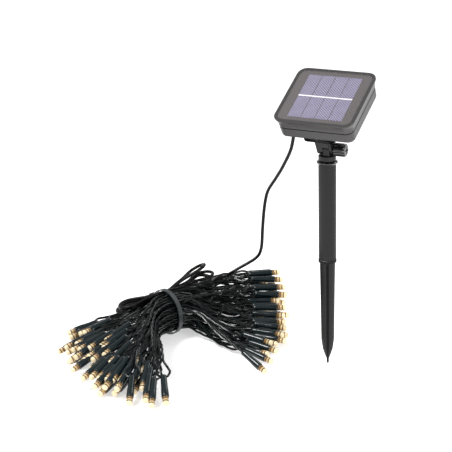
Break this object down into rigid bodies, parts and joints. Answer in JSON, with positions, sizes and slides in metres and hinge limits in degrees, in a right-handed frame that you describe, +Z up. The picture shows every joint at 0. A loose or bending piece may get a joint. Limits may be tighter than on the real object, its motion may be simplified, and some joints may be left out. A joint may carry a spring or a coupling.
{
  "type": "solar string lights",
  "caption": "Solar lamp string: a tilting square solar head on a tube stake with a ground spike, its lead running to a tied hank of small lamps.",
  "frame": {"origin": "the tip of the ground spike", "axes": "+Z up the stake, +X along the tilt hinge towards its knob, -Y the side the panel leans to"},
  "size_m": [0.3003, 0.313, 0.3016],
  "materials": {
    "black_plastic": "satin moulded plastic",
    "shell_plastic": "fine-grained dark grey",
    "black_rubber": "matt",
    "zinc_steel": "zinc plated",
    "board_laminate": "brown laminate",
    "silicon_cell": "polycrystalline blue",
    "tinned_ribbon": "tinned",
    "clear_window": "clear resin over the panel",
    "battery_sleeve": "shrink sleeve",
    "cord_green_black": "soft glossy insulation",
    "lamp_green_black": "glossy shrink sleeve",
    "lamp_clear": "clear cap over a warm lamp"
  },
  "bodies": {
    "stake": {"ground_spike": "black_plastic", "lower_collar": "black_plastic", "stake_tube": "black_plastic", "tube_ring": "black_plastic", "lead_lower": "cord_green_black", "hank_right_fan": "cord_green_black", "hank_waist": "cord_green_black", "hank_left_fan": "cord_green_black", "cable_tie_strap": "black_plastic", "cable_tie_head": "black_plastic", "lamp_holder_1": "lamp_green_black", "lamp_lens_1": "lamp_clear", "lamp_holder_2": "lamp_green_black", "lamp_lens_2": "lamp_clear", "lamp_holder_3": "lamp_green_black", "lamp_lens_3": "lamp_clear", "lamp_holder_4": "lamp_green_black", "lamp_lens_4": "lamp_clear", "lamp_holder_5": "lamp_green_black", "lamp_lens_5": "lamp_clear", "lamp_holder_6": "lamp_green_black", "lamp_lens_6": "lamp_clear"},
    "neck": {"neck": "black_plastic"},
    "head": {"upper_frame": "shell_plastic", "lower_shell": "shell_plastic", "panel_window": "clear_window", "battery_cover": "shell_plastic", "cable_gland": "black_rubber", "bracket": "black_plastic", "lead_upper": "cord_green_black", "panel_backing": "board_laminate", "cell_strip_1": "silicon_cell", "cell_strip_2": "silicon_cell", "cell_strip_3": "silicon_cell", "cell_strip_4": "silicon_cell", "bus_ribbon": "tinned_ribbon", "sealing_gasket": "black_rubber", "circuit_board": "board_laminate", "battery_cell": "battery_sleeve", "battery_holder": "black_plastic", "spring_contact": "zinc_steel", "plate_contact": "zinc_steel", "power_switch": "black_plastic", "mode_switch": "black_plastic", "battery_cover_screw": "zinc_steel", "housing_screw_1": "zinc_steel", "housing_screw_2": "zinc_steel", "housing_screw_3": "zinc_steel", "housing_screw_4": "zinc_steel", "bracket_screw_1": "zinc_steel", "bracket_screw_2": "zinc_steel", "hinge_nut": "zinc_steel"},
    "knob": {"tilt_knob": "black_plastic", "hinge_bolt": "zinc_steel"},
    "power_button": {"power_button": "black_rubber"},
    "mode_button": {"mode_button": "black_rubber"}
  },
  "joints": [
    {"name": "swivel", "type": "hinge", "parent": "stake", "child": "neck", "pos_m": [0, 0, 0.2166], "axis": [0, 0, 1], "range_deg": [-60, 60], "deforming": ["lead_upper", "lead_lower"]},
    {"name": "tilt", "type": "hinge", "parent": "neck", "child": "head", "pos_m": [0, 0, 0.2285], "axis": [1, 0, 0], "range_deg": [-28, 50], "deforming": ["lead_upper"]},
    {"name": "knob_turn", "type": "hinge", "parent": "head", "child": "knob", "pos_m": [0, 0, 0.2285], "axis": [1, 0, 0], "range_deg": [0, 360]},
    {"name": "power_press", "type": "slide", "parent": "head", "child": "power_button", "axis": [0, -0.4772, 0.8788], "range_m": [0, 0.0007], "stiffness_N_per_m": 3000},
    {"name": "mode_press", "type": "slide", "parent": "head", "child": "mode_button", "axis": [0, -0.4772, 0.8788], "range_m": [0, 0.0007], "stiffness_N_per_m": 3000}
  ]
}
